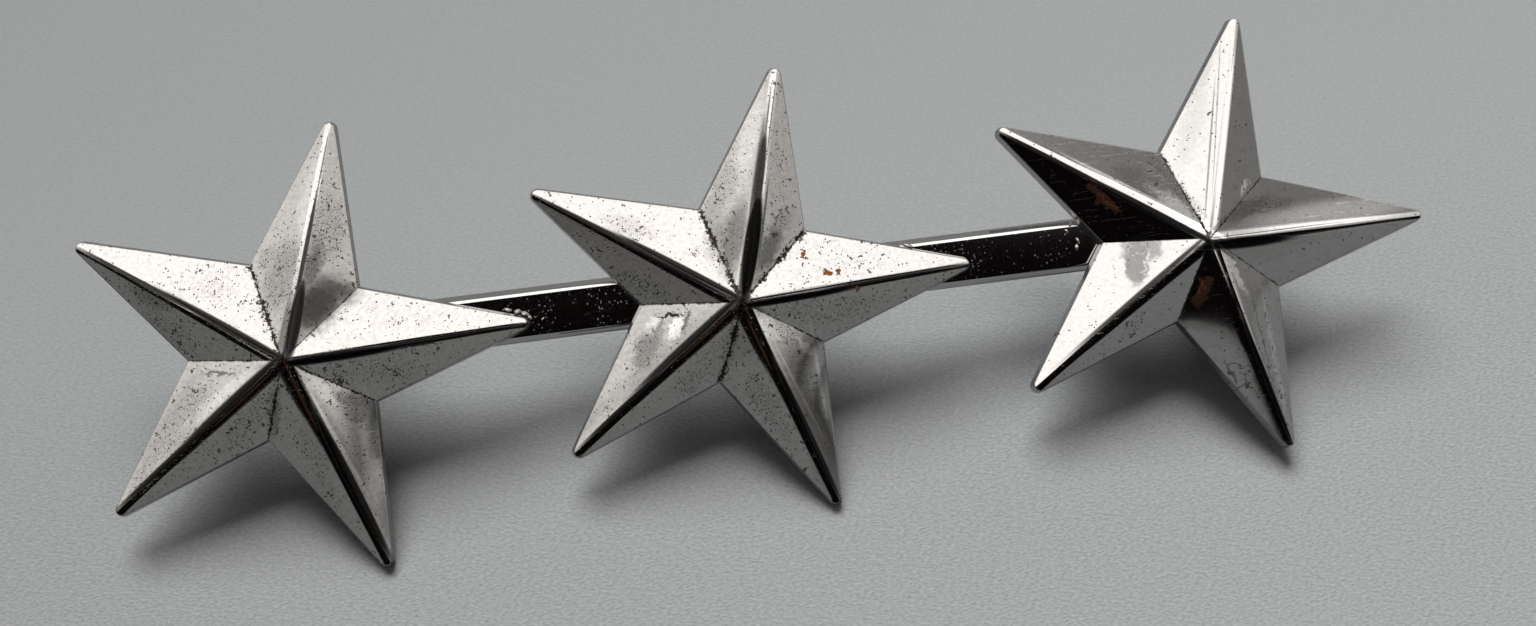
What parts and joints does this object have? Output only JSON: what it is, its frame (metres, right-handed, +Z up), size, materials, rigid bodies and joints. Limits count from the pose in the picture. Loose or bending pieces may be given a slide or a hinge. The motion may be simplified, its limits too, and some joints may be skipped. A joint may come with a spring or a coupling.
{
  "type": "rank insignia pin",
  "caption": "Row of faceted five-pointed metal stars seated on a slim bevelled bar, with plain pointed posts behind it for pinning through cloth.",
  "frame": {"origin": "centre of the insignia's box on the table that it lies on, at the height of its lowest points", "axes": "+X along the bar, the way that one arm of each star points; +Y away from a viewer who looks at the faces; +Z up from the table"},
  "size_m": [0.074, 0.0218, 0.0139],
  "materials": {
    "star_plating": "bright plating, finely pitted, with dark grime in the creases",
    "bar_plating": "mirror polished, finely specked",
    "post_metal": "plain turned metal, dull"
  },
  "bodies": {
    "root": {"star_left": "star_plating", "star_middle": "star_plating", "star_right": "star_plating", "bar": "bar_plating", "post_left": "post_metal", "post_right": "post_metal"}
  },
  "joints": []
}
